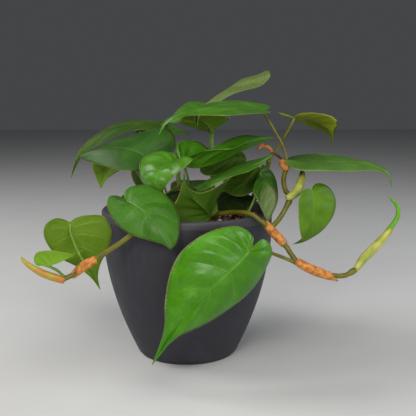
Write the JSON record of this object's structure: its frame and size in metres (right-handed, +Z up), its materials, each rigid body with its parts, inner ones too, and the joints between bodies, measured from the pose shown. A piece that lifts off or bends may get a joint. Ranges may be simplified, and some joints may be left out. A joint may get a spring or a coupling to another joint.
{
  "type": "potted philodendron",
  "caption": "Heartleaf philodendron with trailing vines and glossy heart-shaped leaves, growing in a round tapered matt grey pot that stands on its flat underside.",
  "frame": {"origin": "centre of the pot's underside, on the surface that it stands on", "axes": "+Z up along the pot's axis, -Y towards the front where the largest leaf hangs, +X to the right seen from the front"},
  "size_m": [0.2725, 0.1896, 0.217],
  "materials": {
    "pot": "matt dark grey",
    "mix": "loose bark and coir potting mix",
    "bark": "rough bark chip",
    "perlite": "porous white granule",
    "leaf": "smooth satin green leaf",
    "leaf_under": "dull yellow-green leaf underside",
    "leaf_pale": "pale satin green leaf",
    "stem": "smooth olive green stem",
    "sheath_dry": "dry papery brown sheath",
    "sheath_green": "soft cream-green sheath"
  },
  "bodies": {
    "root": {"pot": "pot", "potting_mix": "mix", "bark_chip_right": "bark", "bark_chip_front": "bark", "bark_chip_left": "bark", "bark_chip_back": "bark", "perlite_right": "perlite", "perlite_front": "perlite", "perlite_left": "perlite", "front_leaf": "leaf", "left_front_leaf": "leaf", "left_new_leaf": "leaf", "back_left_arch_leaf": "leaf", "back_left_far_leaf": "leaf", "left_wide_leaf": "leaf", "curled_leaf": "leaf", "top_leaf": "leaf", "top_left_leaf": "leaf", "centre_fold_leaf": "leaf", "swoosh_leaf": "leaf", "low_shade_leaf": "leaf", "right_long_leaf": "leaf", "right_heart_leaf": "leaf", "low_left_leaf": "leaf", "back_left_leaf": "leaf", "back_middle_leaf": "leaf", "back_right_leaf": "leaf", "rolled_leaf": "leaf", "left_back_leaf": "leaf_under", "left_hanging_leaf": "leaf_under", "top_under_leaf": "leaf_under", "centre_shade_leaf": "leaf_under", "cupped_leaf": "leaf_under", "inner_shade_leaf": "leaf_under", "top_right_leaf": "leaf_under", "back_low_leaf": "leaf_under", "top_light_leaf": "leaf_pale", "right_fold_leaf": "leaf_pale", "right_vine": "stem", "right_branch": "stem", "left_vine": "stem", "olive_stem": "stem", "back_branch": "stem", "sprout": "stem", "brown_stick": "stem", "grey_stem": "stem", "middle_sheath": "sheath_dry", "lower_sheath": "sheath_dry", "left_sheath": "sheath_dry", "node_bract": "sheath_dry", "stem_bract": "sheath_dry", "curled_bract": "sheath_dry", "left_tip_sheath": "sheath_green", "right_tip_sheath": "sheath_green", "long_leaf_sheath": "sheath_green"}
  },
  "joints": []
}
